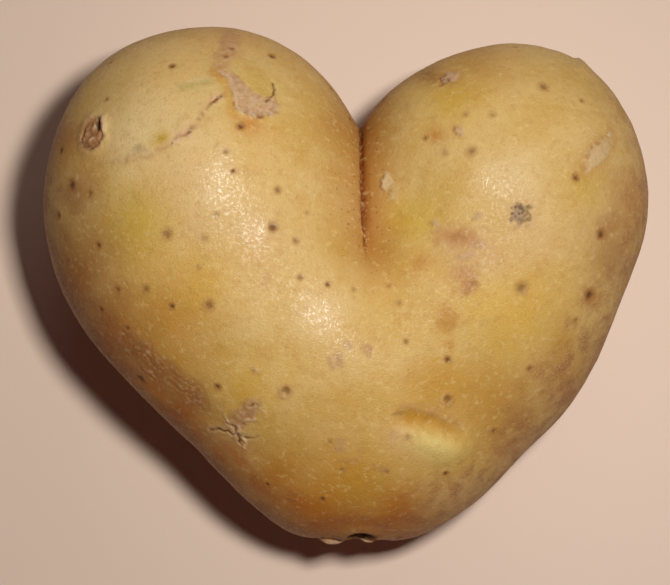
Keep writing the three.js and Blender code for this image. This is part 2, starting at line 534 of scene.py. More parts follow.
cleft = {
    "path": [(1.6, 28.0), (1.8, 20.0), (1.9, 14.0), (2.1, 8.0), (2.3, 4.5), (2.8, 0.5), (3.2, -2.6)],
    "fadesOut": 2.0,  # y where the slit ends
    "deepFrom": 9.0,  # y from which it is fully deep
    "halfWidth": 0.26,
    "depth": 0.35,
    "line": (112, 44, 6),
    "wallAndShade": (168, 102, 30),
    "wallReach": 4.4,  # on the right of the slit
    "besideLine": (132, 64, 12),
    "grains": (214, 172, 104),
}


def makeCleft(marks):
    # the path runs down, so that its left is the right of the potato
    side = toLine(wobble(marks, 2.0, 0.12, 53.0), cleft["path"])[0]
    away = np.abs(side)
    y, z = marks["plan"][:, 1], marks["points"][:, 2]
    strength = ease(y, cleft["fadesOut"], cleft["deepFrom"])
    rightOf = ease(side, -0.2, 0.3)
    near = ease(y, -5, 6)
    # painted shade: orange-brown on both walls of the cleft, most on the right wall, which faces away
    # from the light; partly the skin's own colour there
    paint(marks, cleft["wallAndShade"], 0.85 * near * rightOf * bell(away, cleft["wallReach"]), True)
    paint(marks, cleft["wallAndShade"], 0.85 * near * (1 - rightOf) * np.exp(-away / 3.0), True)
    width = 0.07 + 0.06 * strength
    # painted shade in and beside the slit: a dark brown line along it, partly the skin's own dark colour
    paint(marks, cleft["besideLine"], 0.8 * strength * ease(side, 1.6, 0.1) * rightOf, True)
    paint(marks, cleft["line"], 0.95 * ease(y, 1.5, 4.5) * ease(away, width + 0.13, width * 0.5), True)
    roughen(marks, 0.9 * near * rightOf * np.exp(-(away / 6.0) ** 4))
    slit = bell(away, cleft["halfWidth"]) * ease(z, 22, 30)
    raiseSkin(marks, -cleft["depth"] * strength * slit)
    # the left arm bulges over the slit
    raiseSkin(marks, 0.35 * strength * ease(side, 0.0, -0.4) * ease(side, -3.0, -0.5))
    # loose grains where the slit ends
    grains = ease(unevenness(marks["points"], 0.35, 15.0), 0.1, 0.3) * ease(np.abs(y - 5.0), 2.4, 0.8)
    paint(marks, cleft["grains"], 0.8 * grains * ease(away, 0.8, 0.2))
    raiseSkin(marks, 0.2 * grains * ease(away, 0.7, 0.2))
    atLeast(marks, "dots", ease(away, 8, 1) * ease(y, -6, 4) * marks["top"])


# the brow crease over the pale window

brow = {
    "path": [(-35.8, 15.6), (-32.0, 15.2), (-28.3, 15.9), (-26.4, 17.0), (-24.7, 18.1), (-22.9, 19.3),
             (-21.4, 21.0), (-19.5, 24.0), (-18.3, 24.9), (-17.5, 25.3)],
    "line": (134, 86, 54),
    "lip": (218, 174, 138),
    "beside": (188, 144, 98),
    "chips": (226, 190, 156),
    "upper": [(-25.6, 26.2), (-23.4, 27.1), (-21.2, 27.6), (-19.2, 28.2)],
    "upperLine": (224, 198, 150),
    "shadeUnderUpper": (176, 162, 92),
}


def makeBrow(marks):
    side, along = toLine(wobble(marks, 1.6, 0.25, 3.0), brow["path"])
    away = np.abs(side)
    ends = ease(along, 0, 0.12) * ease(along, 1, 0.93)
    broken = 0.45 + 0.55 * ease(unevenness(marks["points"], 1.5, 7.0), -0.3, 0.3)
    # it is deepest in two places along the way
    deep = np.maximum(ease(np.abs(along - 0.50), 0.11, 0.05), ease(np.abs(along - 0.84), 0.09, 0.04))
    broken = np.maximum(broken, deep)
    raiseSkin(marks, -0.16 * ends * bell(away, 0.22) * (0.3 + deep))
    raiseSkin(marks, 0.08 * ends * ease(side, -0.1, 0.3) * ease(side, 2.2, 0.4))
    lip = ease(side, 0.0, 0.2) * ease(side, 1.3, 0.5) * (0.4 + 0.6 * deep)
    paint(marks, brow["lip"], 0.45 * ends * lip)
    paint(marks, brow["beside"], 0.25 * ends * ease(away, 0.8, 0.2))
    roughen(marks, 0.8 * ends * ease(away, 1.6, 0.8))
    chips = unevenness(marks["points"], 0.45, 35.0)
    paint(marks, brow["chips"], 0.8 * ends * deep * ease(away, 0.9, 0.4) * ease(chips, 0.1, 0.3))
    raiseSkin(marks, 0.07 * ends * deep * ease(away, 0.9, 0.4) * chips)
    paint(marks, brow["line"], ends * broken * ease(away, 0.27, 0.10) * (0.5 + 0.5 * deep))
    side, along = toLine(wobble(marks, 1.6, 0.25, 3.0), brow["upper"])
    ends = ease(along, 0, 0.2) * ease(along, 1, 0.8)
    # painted shade in a band just beside the upper line
    paint(marks, brow["shadeUnderUpper"], 0.55 * ends * ease(np.abs(side + 0.7), 0.9, 0.2))
    paint(marks, brow["upperLine"], 0.45 * ends * ease(np.abs(side), 0.45, 0.1))


# the eye bud high on the left arm

eye = {
    "place": (-36.8, 19.9),
    "size": (3.6, 5.3),
    "turn": -8,
    "inside": (160, 104, 76),
    "rim": (222, 190, 148),
    "ring": (130, 84, 52),
    "hollows": (146, 98, 62),
    "slit": ((-36.0, 21.2), (0.5, 2.5), 6),
    "slitDarkAndShade": (52, 30, 18),
    "lip": ((-35.2, 21.3), (0.9, 3.2), 4),
    "lipColour": (206, 170, 140),
}


def makeEye(marks):
    plan = wobble(marks, 0.9, 0.30, 11.0)
    oval = toOval(plan, eye["place"], eye["size"], eye["turn"])
    lumps = unevenness(marks["points"], 0.75, 5.0)
    raiseSkin(marks, 0.28 * ease(oval, 1.6, 0.9) - 0.25 * bell(oval - 0.82, 0.12))
    raiseSkin(marks, 0.18 * lumps * ease(oval, 1.2, 0.8))
    paint(marks, eye["inside"], 0.75 * ease(oval, 1.2, 0.85))
    # painted light and shade: darker in the low places of the lumpy middle, paler on the high ones
    paint(marks, eye["hollows"], 0.65 * ease(oval, 0.9, 0.6) * ease(lumps, -0.15, -0.35))
    paint(marks, eye["rim"], 0.8 * ease(oval, 0.9, 0.6) * ease(lumps, 0.2, 0.5))
    turn = np.arctan2(plan[:, 1] - eye["place"][1], plan[:, 0] - eye["place"][0])
    flecks = ease(1.3 * unevenness(marks["points"], 1.1, 9.0) - 1.2 * np.sin(turn), -0.5, 0.3)
    paint(marks, eye["ring"], 0.9 * ease(np.abs(oval - 0.84), 0.11, 0.03) * flecks)
    paint(marks, eye["rim"], 0.6 * ease(np.abs(oval - 1.02), 0.13, 0.05) * ease(lumps, -0.2, 0.2))
    slit = toOval(marks["plan"], *eye["slit"])
    raiseSkin(marks, -0.5 * ease(slit, 1.3, 0.3))
    # the slit is painted near black, partly painted shade in it
    paint(marks, eye["slitDarkAndShade"], ease(slit, 1.15, 0.7))
    lip = toOval(marks["plan"], *eye["lip"])
    raiseSkin(marks, 0.35 * ease(lip, 1.2, 0.5))
    paint(marks, eye["lipColour"], 0.85 * ease(lip, 1.1, 0.5))
    roughen(marks, 0.8 * ease(oval, 1.2, 0.9))


# the scurf patch between the left arm's pores

scurf = {
    "outline": [(-18.7, 28.9), (-17.4, 27.7), (-16.5, 25.6), (-16.0, 22.9), (-14.2, 22.0), (-12.0, 22.2),
                (-10.3, 22.7), (-10.0, 24.0), (-10.6, 25.4), (-12.2, 25.0), (-14.1, 26.2), (-15.5, 27.7),
                (-16.7, 29.0)],
    "hairline": [(-11.0, 27.6), (-10.7, 26.6), (-10.9, 25.6), (-11.8, 24.6)],
    "band": [(-17.4, 36.0), (-17.6, 32.6), (-18.3, 30.7), (-19.0, 28.6)],
    "inside": (198, 159, 120),
    "edge": (128, 84, 48),
    "stain": (202, 150, 60),
    "bandColour": (188, 138, 98),
    "smooth": (206, 168, 122),
    "high": (214, 182, 150),
    "low": (170, 128, 96),
    "lowerLip": (222, 194, 160),
    "leftLip": (222, 190, 152),
    "hairColour": (104, 60, 28),
    "spot": ((-12.7, 21.9), (1.5, 0.8), 10),
    "spotColour": (120, 74, 40),
}


def makeScurf(marks):
    ragged = wobble(marks, 1.4, 0.24, 17.0)
    edge = toPatch(ragged, scurf["outline"])
    band = np.abs(toLine(wobble(marks, 2.5, 0.8, 19.0), scurf["band"])[0])
    paint(marks, scurf["bandColour"], 0.6 * ease(band, 1.9, 0.5))
    roughen(marks, 0.5 * ease(band, 1.8, 0.8))
    raiseSkin(marks, 0.07 * ease(band, 1.8, 0.5) * (1 + unevenness(marks["points"], 0.8, 4.0)))

    left = toLine(ragged, scurf["outline"][:4])[0]
    paint(marks, scurf["stain"], 0.65 * ease(np.abs(left + 0.7), 1.1, 0.2) * ease(edge, 0.0, 0.3))
    inside = ease(edge, 0.12, -0.12)
    lumps = unevenness(marks["points"], 0.6, 2.0)
    raiseSkin(marks, inside * (-0.14 + 0.05 * lumps))
    raiseSkin(marks, 0.12 * ease(edge, 0.6, 0.1) * ease(edge, -0.1, 0.1))
    paint(marks, scurf["inside"], 0.90 * inside)
    broad = unevenness(marks["points"], 2.2, 12.0)
    paint(marks, scurf["smooth"], 0.6 * inside * ease(broad, 0.0, 0.3))
    # paler on the raised lumps and darker on the low ones: painted light and shade that follow the
    # relief
    paint(marks, scurf["high"], 0.6 * inside * ease(lumps, 0.05, 0.4))
    paint(marks, scurf["low"], 0.5 * inside * ease(lumps, -0.1, -0.5))
    lower = np.abs(toLine(ragged, scurf["outline"][3:8])[0])
    paint(marks, scurf["lowerLip"], 0.8 * ease(lower, 0.5, 0.2) * ease(lumps, -0.2, 0.2))
    raiseSkin(marks, 0.14 * ease(lower, 0.5, 0.2))
    paint(marks, scurf["leftLip"], 0.8 * ease(np.abs(left - 0.15), 0.35, 0.1) * ease(edge, 0.4, 0.0))
    # painted shadow along the left edge of the patch, and a thin brown line all round its edge
    shade = ease(np.abs(left + 0.3), 0.3, 0.08) * ease(edge, 0.5, 0.2) * ease(lumps, -0.2, 0.2)
    paint(marks, scurf["edge"], 0.7 * shade)
    paint(marks, scurf["edge"], 0.22 * ease(np.abs(edge), 0.2, 0.05))
    hair = np.abs(toLine(marks["plan"], scurf["hairline"])[0])
    raiseSkin(marks, -0.15 * ease(hair, 0.3, 0.1))
    paint(marks, scurf["hairColour"], 0.9 * ease(hair, 0.2, 0.06))
    paint(marks, scurf["spotColour"], 0.8 * ease(toOval(ragged, *scurf["spot"]), 1.1, 0.5))
    roughen(marks, 0.9 * inside)


# cracks, creases and flakes

starCrack = {
    "arms": [[(-20.1, -22.4), (-18.3, -22.4), (-16.8, -23.0), (-14.9, -23.4), (-13.1, -23.6)],
             [(-15.9, -22.9), (-15.9, -23.8), (-15.4, -24.4)],
             [(-17.3, -21.6), (-16.6, -22.0), (-16.1, -22.7)],
             [(-13.0, -18.9), (-13.7, -18.8), (-14.3, -19.0)]],
    "pale": [[(-14.9, -21.2), (-13.9, -20.9), (-12.9, -21.1)], [(-12.0, -19.2), (-11.9, -20.7)],
             [(-15.3, -23.4), (-14.8, -24.2), (-15.0, -25.0)], [(-17.9, -20.3), (-17.2, -21.6)]],
    "rough": [(-12.8, -18.6), (-14.6, -18.6), (-17.6, -21.4), (-16.4, -22.4), (-13.6, -20.6)],
    "heart": ((-15.7, -22.5), (1.2, 1.4)),
    "line": (96, 56, 28),
    "besideLine": (206, 166, 120),
    "paleLine": (224, 188, 146),
    "cork": (178, 128, 92),
    "high": (208, 172, 132),
    "low": (138, 94, 58),
    "heartColour": (222, 184, 150),
}


def makeStarCrack(marks):
    ragged = wobble(marks, 0.9, 0.3, 23.0)
    patch = toPatch(ragged, starCrack["rough"])
    lumps = unevenness(marks["points"], 0.7, 8.0)
    paint(marks, starCrack["cork"], 0.75 * ease(patch, 1.0, -0.3))
    # paler on the raised lumps and darker on the low ones: painted light and shade that follow the
    # relief
    paint(marks, starCrack["high"], 0.6 * ease(patch, 1.2, -0.2) * ease(lumps, 0.05, 0.4))
    paint(marks, starCrack["low"], 0.3 * ease(patch, 1.2, -0.2) * ease(lumps, -0.1, -0.5))
    roughen(marks, 0.7 * ease(patch, 1.0, 0.0))
    raiseSkin(marks, 0.07 * ease(patch, 0.8, 0.0) * lumps)
    for path in starCrack["arms"]:
        side, along = toLine(ragged, path)
        away = np.abs(side)
        thin = ease(along, 1.0, 0.7) * 0.7 + 0.3
        raiseSkin(marks, -0.10 * thin * bell(away, 0.16) + 0.05 * bell(away - 0.5, 0.25))
        paint(marks, starCrack["besideLine"], 0.5 * thin * ease(np.abs(away - 0.4), 0.4, 0.1))
        paint(marks, starCrack["line"], 0.85 * thin * ease(away, 0.24, 0.06))
    for path in starCrack["pale"]:
        away = np.abs(toLine(ragged, path)[0])
        raiseSkin(marks, 0.10 * ease(away, 0.4, 0.1))
        paint(marks, starCrack["paleLine"], 0.75 * ease(away, 0.32, 0.1) * ease(lumps, -0.5, 0.0))
    heart = toOval(ragged, *starCrack["heart"])
    paint(marks, starCrack["heartColour"], 0.7 * ease(heart, 1.2, 0.6) * ease(lumps, -0.2, 0.2))
    raiseSkin(marks, 0.12 * ease(heart, 1.2, 0.4) * lumps)


crescent = {
    "groove": [(5.8, -20.4), (7.8, -20.1), (10.0, -20.3), (12.4, -21.0), (14.8, -22.2), (17.2, -23.8)],
    "colour": (190, 130, 22),
    "bulge": ((12.3, -24.6), (9.6, 4.8), -16),
    "bulgePaleAndLit": (220, 196, 122),
    "lip": (198, 150, 90),
    "dark": (136, 86, 40),
}


def makeCrescent(marks):
    ragged = wobble(marks, 1.6, 0.3, 29.0)
    side, along = toLine(ragged, crescent["groove"])
    ends = ease(along, 0, 0.2) * ease(along, 1, 0.8)
    bulge = toOval(ragged, *crescent["bulge"])
    lumps = unevenness(marks["points"], 0.9, 25.0)
    raiseSkin(marks, 0.80 * bell(bulge, 1.0))
    raiseSkin(marks, -0.42 * ends * bell(side + 0.9, 1.5))
    raiseSkin(marks, 0.08 * ends * ease(side, -0.4, 0.8) * ease(side, 2.8, 1.0) * (1 + lumps))
    # the golden band in the groove is the skin's colour and painted shade; the pale bulge below it is
    # partly a painted highlight
    band = ends * ease(np.abs(side + 0.9), 1.9, 0.3) * ease(along, 0.05, 0.3)
    paint(marks, crescent["colour"], 0.90 * band)
    paint(marks, crescent["bulgePaleAndLit"], 0.95 * bell(bulge, 0.95))
    lip = ends * ease(np.abs(side - 1.0), 1.2, 0.3) * ease(lumps, -0.5, 0.1)
    paint(marks, crescent["lip"], 0.7 * lip)
    leftEnd = ease(along, 0, 0.05) * ease(along, 0.3, 0.1) * ease(np.abs(side), 0.35, 0.05)
    paint(marks, crescent["dark"], 0.45 * leftEnd)


flakes = [  # place, size, turn, colour, and how much shade lies on its left
    ((15.1, 29.4), (2.7, 1.9), 20, (214, 178, 142), 0.9),
    ((16.0, 20.6), (1.0, 2.2), 25, (208, 174, 138), 0.5),
    ((5.6, 13.6), (1.5, 2.8), -15, (222, 194, 146), 0.5),
    ((6.6, 12.0), (0.9, 2.6), 10, (204, 172, 116), 0.1),
    ((36.4, 17.6), (2.3, 6.4), -38, (214, 184, 136), 0.6),
    ((38.4, 20.8), (0.8, 1.6), -20, (214, 190, 150), 0.3),
    ((18.6, 7.8), (1.4, 0.7), 30, (200, 168, 130), 0.3),
    ((12.6, 7.2), (1.3, 0.8), -20, (208, 176, 138), 0.3),
    ((17.0, 2.2), (2.2, 0.9), 10, (204, 168, 128), 0.2),
    ((-13.0, -14.2), (1.2, 0.6), 0, (206, 172, 132), 0.3),
]
flakeShade = {"wide": (186, 130, 66), "close": (122, 76, 42)}
dent = {"oval": ((14.6, 28.9), (1.2, 0.7), 20), "depth": 0.25, "colour": (112, 70, 40)}


def makeFlakes(marks):
    ragged = wobble(marks, 1.0, 0.45, 31.0)
    chips = unevenness(marks["points"], 0.55, 6.0)
    for (x, y), size, turn, colour, shade in flakes:
        oval = toOval(ragged, (x, y), size, turn) + 0.35 * chips
        under = toOval(ragged, (x - 0.35, y - 0.1), size, turn) + 0.35 * chips
        paint(marks, flakeShade["wide"], 0.6 * shade * ease(under, 2.2, 0.9))
        paint(marks, flakeShade["close"], 0.85 * shade * ease(under, 1.15, 0.85))
        paint(marks, colour, 0.85 * ease(oval, 1.1, 0.8))
        raiseSkin(marks, 0.16 * ease(oval, 1.1, 0.75) * (1 + 0.6 * chips))
        raiseSkin(marks, -0.08 * shade * ease(under, 1.4, 1.0))
        roughen(marks, 0.8 * ease(oval, 1.2, 0.8))
    oval = toOval(ragged, *dent["oval"])
    paint(marks, dent["colour"], 0.8 * ease(oval, 1.1, 0.5))
    raiseSkin(marks, -dent["depth"] * ease(oval, 1.1, 0.3))


fold = {
    "path": [(34.9, 34.4), (34.3, 32.6), (33.0, 30.8)],
    "height": 0.45,
    "colour": (206, 172, 128),
}


def makeFold(marks):
    # a thin step of the skin on the shoulder of the right arm
    side, along = toLine(wobble(marks, 2.0, 0.25, 59.0), fold["path"])
    step = ease(side, -0.1, 0.2) * ease(side, 3.6, 0.4) * ease(along, 1.0, 0.4)
    marks["height"] += fold["height"] * step
    paint(marks, fold["colour"], 0.6 * ease(np.abs(side - 0.3), 0.5, 0.1) * ease(along, 1.0, 0.6), True)


scab = {
    "place": (24.7, 8.1),
    "size": 3.1,
    "around": (200, 160, 112),
    "inside": (160, 134, 108),
    "dark": (92, 70, 48),
    "right": (150, 124, 56),
    "middle": (176, 148, 122),
}


def makeScab(marks):
    ragged = wobble(marks, 0.75, 0.7, 37.0)
    away = toOval(ragged, scab["place"], (scab["size"], scab["size"]))
    chips = unevenness(marks["points"], 0.45, 3.0)
    raiseSkin(marks, (-0.12 + 0.12 * chips) * ease(away, 1.1, 0.7))
    paint(marks, scab["around"], 0.6 * ease(away, 1.9, 0.9))
    paint(marks, scab["inside"], 0.85 * ease(away, 1.2, 0.7))
    corner = ease(ragged[:, 1] - ragged[:, 0], -17.0, -15.8)  # the upper left of it is darkest
    paint(marks, scab["dark"], (0.35 + 0.45 * corner) * ease(away, 1.2, 0.9) * ease(chips, 0.0, -0.25))
    paint(marks, scab["right"], 0.5 * ease(away, 1.1, 0.8) * ease(ragged[:, 0], 24.9, 25.8))
    paint(marks, scab["middle"], 0.7 * ease(away, 0.7, 0.3) * ease(chips, -0.1, 0.3))
    roughen(marks, 0.9 * ease(away, 1.2, 0.9))


wrinkles = {
    "path": [(-33.5, -8.0), (-32.0, -10.0), (-28.5, -13.1), (-25.6, -15.3), (-22.0, -17.4),
             (-21.5, -21.0)],
    "reach": 2.6,
    "colour": (162, 104, 54),
    "apart": 0.9,
    "between": (120, 72, 40),
    "chips": (212, 172, 128),
}


def makeWrinkles(marks):
    side, along = toLine(wobble(marks, 3.0, 0.9, 41.0), wrinkles["path"])
    band = ease(np.abs(side), wrinkles["reach"], 0.6) * ease(along, 0, 0.1) * ease(along, 1, 0.85)
    folds = np.sin(side * 2 * math.pi / wrinkles["apart"] + 5 * unevenness(marks["points"], 2.0, 1.0))
    raiseSkin(marks, 0.03 * band * folds)
    paint(marks, wrinkles["colour"], 0.6 * band)
    # painted shade in the furrows between the wrinkles
    paint(marks, wrinkles["between"], 0.15 * band * ease(folds, 0.0, -0.8))
    chips = ease(unevenness(marks["points"], 0.6, 33.0), 0.15, 0.4)
    paint(marks, wrinkles["chips"], 0.55 * band * chips)
    raiseSkin(marks, 0.06 * band * chips)
    atLeast(marks, "russet", 0.5 * band * marks["top"])


scar = {  # x and z of each middle, width and height, as seen from the tip
    "hollow": ((1.8, 23.2), (4.4, 4.8)),
    "nub": ((-2.3, 20.6), (3.8, 1.8)),
    "flake": ((2.9, 20.8), (2.4, 0.7)),
    "around": (168, 118, 66),
    "dark": (46, 24, 14),
    "pale": (222, 186, 156),
    "place": (0.0, -38.0, 21.5),
    "closeWork": 5.0,
    "finestWork": 2.8,
}


def makeScar(marks):
    # where the potato hung on its stolon
    moved = 0.3 * drift(marks["points"], 0.9, 43.0)
    seen = np.column_stack([marks["plan"][:, 0] + moved[:, 0], marks["points"][:, 2] + moved[:, 2]])
    side = ease(-marks["normals"][:, 1], 0.1, 0.4)
    hollow = toOval(seen, *scar["hollow"], 4)
    nub = toOval(seen, *scar["nub"], 8)
    flake = toOval(seen, *scar["flake"], -6)
    marks["height"] += side * (0.3 * ease(hollow, 2.0, 1.2) - 1.2 * ease(hollow, 1.15, 0.4))
    marks["height"] += side * (0.95 * ease(nub, 1.25, 0.3) + 0.35 * ease(flake, 1.3, 0.3))
    paint(marks, scar["around"], 0.6 * ease(hollow, 2.2, 1.2) * side, True)
    # the hollow is painted near black, partly the scar's own dark colour and partly painted shade in it
    paint(marks, scar["dark"], 0.95 * ease(hollow, 1.15, 0.75) * side, True)
    pale = np.maximum(ease(nub, 1.15, 0.7), ease(flake, 1.1, 0.7))
    paint(marks, scar["pale"], 0.85 * pale * side, True)
    atLeast(marks, "rough", ease(hollow, 1.6, 1.0) * side)


rims = [  # where the skin turns russet: path, reach, amount
    ([(45.0, 12.0), (43.9, 4.7), (37.3, -7.6), (31.4, -17.9), (22.7, -28.3), (12.2, -35.6)], 5.0, 0.8),
    ([(-45.0, 14.0), (-44.0, 4.0), (-40.0, -4.0), (-34.0, -12.0)], 3.5, 0.7),
    ([(-24.0, -23.0), (-14.0, -32.0), (-6.0, -37.0), (6.0, -37.5)], 3.5, 0.4),
    ([(41.0, 27.0), (44.5, 18.0), (45.0, 12.0)], 4.0, 0.5),
]


# painted shade: the darker colour of the sides, and the redder lower left rim below
sideShadeAndRusset = (172, 110, 40)
reddish = {  # the lower left rim
    "path": [(-34.0, -12.0), (-31.0, -15.0), (-26.5, -18.8), (-22.5, -22.0), (-17.0, -26.8),
             (-11.0, -32.5), (-5.0, -36.0), (5.0, -37.5), (9.0, -36.0)],
    "reach": 3.2,
    "colour": (184, 94, 10),
}


def makeRims(marks):
    plan = wobble(marks, 5.0, 1.8, 47.0)
    patchy = 0.55 + 0.45 * ease(unevenness(marks["points"], 3.0, 13.0), -0.3, 0.4)
    for path, reach, amount in rims:
        away = np.abs(toLine(plan, path)[0])
        atLeast(marks, "russet", amount * patchy * ease(away, reach * 1.6, reach * 0.4))
    # the sides and the underside are darker, painted shade on the faces that turn away from the light
    # above, with russet patches of their own
    lightTop = 1 - 0.7 * ease(marks["plan"][:, 1], 28, 36)
    sideways = ease(marks["normals"][:, 2], 0.50, 0.05)
    paint(marks, sideShadeAndRusset, 0.65 * lightTop * sideways * patchy, True)
    # the lower left rim painted deep red-orange, partly the skin's own colour and partly painted shade
    away = np.abs(toLine(wobble(marks, 2.5, 0.9, 71.0), reddish["path"])[0])
    paint(marks, reddish["colour"], 0.68 * patchy * bell(away, reddish["reach"]), True)
    below = ease(marks["normals"][:, 2], 0.3, -0.3)
    blotches = ease(unevenness(marks["points"], 11.0, 21.0), 0.05, 0.45)
    atLeast(marks, "russet", below * (0.2 + 0.6 * blotches) * patchy)


# eyes on the sides and underneath

otherEyes = [  # place in mm, width and height of the bud, turn
    ((30.0, 36.0, 22.0), (6.0, 2.6), 10),
    ((45.0, 12.0, 16.0), (5.0, 2.4), -15),
    ((-30.0, 36.0, 14.0), (5.5, 2.4), 20),
    ((-14.0, 38.0, 11.0), (4.0, 2.0), -10),
    ((-45.0, -2.0, 12.0), (4.5, 2.2), 30),
    ((-26.0, -20.0, 8.0), (4.5, 2.0), -25),
    ((30.0, -18.0, 9.0), (5.0, 2.2), 15),
    ((24.0, 22.0, 2.0), (5.0, 2.4), 40),
    ((-28.0, 28.0, 3.0), (4.5, 2.2), 70),
    ((-10.0, -6.0, 3.0), (4.5, 2.2), -30),
]
otherEyeColours = {
    "hollow": (178, 132, 84),
    "bud": (196, 156, 112),
    "ring": (110, 70, 40),
    "brow": (104, 64, 36),
}


def aroundPoint(marks, place, moved):
    # the skin near a place, laid flat around it: points further off are far away
    points = marks["points"]
    start = int(np.argmin(np.linalg.norm(points - np.array(place), axis=1)))
    normal = Vector(marks["normals"][start])
    across = normal.cross(Vector((0, 0, 1))).normalized() if abs(normal.z) < 0.95 else Vector((1, 0, 0))
    up = across.cross(normal) * -1
    off = points - points[start]
    flat = np.column_stack([off @ np.array(across), off @ np.array(up)])
    flat[np.linalg.norm(off, axis=1) > 9] = 99
    return flat + moved


def makeOtherEyes(marks):
    moved = 0.35 * drift(marks["points"], 1.2)[:, :2]
    for place, (width, height), turn in otherEyes:
        flat = aroundPoint(marks, place, moved)
        bud = toOval(flat, (0, 0), (width * 0.45, height), turn)
        hollow = toOval(flat, (0, 0), (width * 1.3, height * 2.2), turn)
        tilt = math.radians(turn)
        rise = flat[:, 1] * math.cos(tilt) - flat[:, 0] * math.sin(tilt)
        run = flat[:, 0] * math.cos(tilt) + flat[:, 1] * math.sin(tilt)
        # the brow bends round the bud
        bow = rise - height * 0.9 + 0.28 * run ** 2 / width
        ends = ease(np.abs(run), width * 0.75, width * 0.35)
        marks["height"] += -0.5 * ease(hollow, 1.2, 0.2) + 0.45 * ease(bud, 1.2, 0.3)
        ridge = ease(bow, -0.1, 0.5) * ease(bow, 2.0, 0.6)
        marks["height"] += ends * (0.35 * ridge - 0.3 * bell(bow, 0.35))
        paint(marks, otherEyeColours["hollow"], 0.6 * ease(hollow, 1.1, 0.4), True)
        paint(marks, otherEyeColours["bud"], 0.7 * ease(bud, 1.1, 0.6), True)
        paint(marks, otherEyeColours["ring"], 0.7 * ease(np.abs(bud - 1.05), 0.3, 0.05), True)
        paint(marks, otherEyeColours["brow"], 0.85 * ends * ease(np.abs(bow), 0.4, 0.1), True)
        atLeast(marks, "rough", 0.6 * ease(bud, 1.3, 0.9))


# pores

topPores = {
    "dark": [
        (-25.3, 29.7), (-11.3, 32.3), (-15.3, 20.4), (-16.4, 13.9), (-40.2, 12.9), (-42.4, 8.8),
        (-10.9, 6.0), (-35.9, 3.8), (-3.0, -2.0), (-25.2, -5.0), (-35.7, -5.1), (-30.5, -15.0),
        (-18.7, -16.4), (-11.8, -30.4), (-3.8, -32.5), (36.6, 5.8),
        (35.1, -3.0), (14.2, -12.5), (14.0, -28.8), (-42.0, 18.4), (32.9, 13.7),
    ],
    "brown": [
        (11.2, 19.7), (17.7, 17.4), (-35.3, 31.8), (-34.9, 25.0), (-17.4, 16.6), (-37.0, 11.1),
        (-25.8, 4.8), (-7.5, 4.2),
        (-28.8, -2.7), (-33.2, -2.5), (-19.9, -5.0), (-6.9, -1.1), (-41.1, 2.4), (-31.8, -7.9),
        (-9.0, -17.1), (28.4, 27.4), (34.1, 25.8), (24.8, -2.4), (8.1, -10.1), (14.2, -18.2),
        (-17.3, 33.2), (-18.0, 31.6), (26.3, -13.7), (21.2, -22.7), (43.9, 4.7), (33.1, -6.7),
        (25.2, 35.2), (-10.1, 11.5),
    ],
    "faint": [
        (-6.0, 8.2), (-20.6, 4.3), (-21.3, 0.1), (-18.8, 7.5), (-2.7, -24.3), (0.7, -2.6),
        (5.7, -1.9), (17.8, -1.6), (20.5, 22.8), (7.1, -4.5), (28.3, -17.0), (-0.9, -28.3),
        (5.5, -28.6), (8.3, -23.6), (13.8, 17.5), (16.8, 23.0),
    ],
    "tones": {"dark": 0.95, "brown": 0.62, "faint": 0.38},
    "closeWork": 1.1,
    "radius": (0.28, 0.44),
    "large": {(-10.9, 6.0): 0.50, (-30.5, -15.0): 0.65, (14.2, -18.2): 0.55, (-9.0, -17.1): 0.6,
              (24.8, -2.4): 0.65, (36.6, 5.8): 0.55, (35.1, -3.0): 0.65, (-40.2, 12.9): 0.6,
              (-25.8, 4.8): 0.6, (-19.9, -5.0): 0.6, (28.4, 27.4): 0.55, (17.7, 17.4): 0.55},
    "ringed": [(14.2, -18.2), (-9.0, -17.1), (-17.3, 33.2), (-18.0, 31.6)],
    "ringRadius": 0.8,
    "ringColour": (214, 180, 134),
    "depth": 0.14,  # of a pore of 0.4 mm radius
    "seed": 5,
}

otherPores = {
    "count": 110,
    "apart": 5.5,
    "below": 0.32,  # only where the skin looks up less than this
    "radius": (0.26, 0.5),
    "seed": 11,
}


def placePores(marks):
    # each pore: its middle on the skin, its radius, and how dark it is
    points, normals, plan = marks["points"], marks["normals"], marks["plan"]
    draw = random.Random(topPores["seed"])
    up = np.flatnonzero(normals[:, 2] > mesh["upwards"])
    pores = []
    for kind, tone in topPores["tones"].items():
        for x, y in topPores[kind]:
            nearest = up[np.argmin(howFar(plan[up], (x, y)))]
            radius = topPores["large"].get((x, y), draw.uniform(*topPores["radius"]))
            pores.append((points[nearest], radius, tone * draw.uniform(0.85, 1.0)))
    placed = len(pores)
    draw = random.Random(otherPores["seed"])
    rest = np.flatnonzero((normals[:, 2] < otherPores["below"]) & (points[:, 2] > 0.5)).tolist()
    for _ in range(otherPores["count"] * 6):
        point = points[draw.choice(rest)]
        radius, tone = draw.uniform(*otherPores["radius"]), draw.uniform(0.3, 1.0)
        if min(np.linalg.norm(point - other[0]) for other in pores) > otherPores["apart"]:
            pores.append((point, radius, tone))
        if len(pores) >= otherPores["count"] + placed:
            break
    return pores


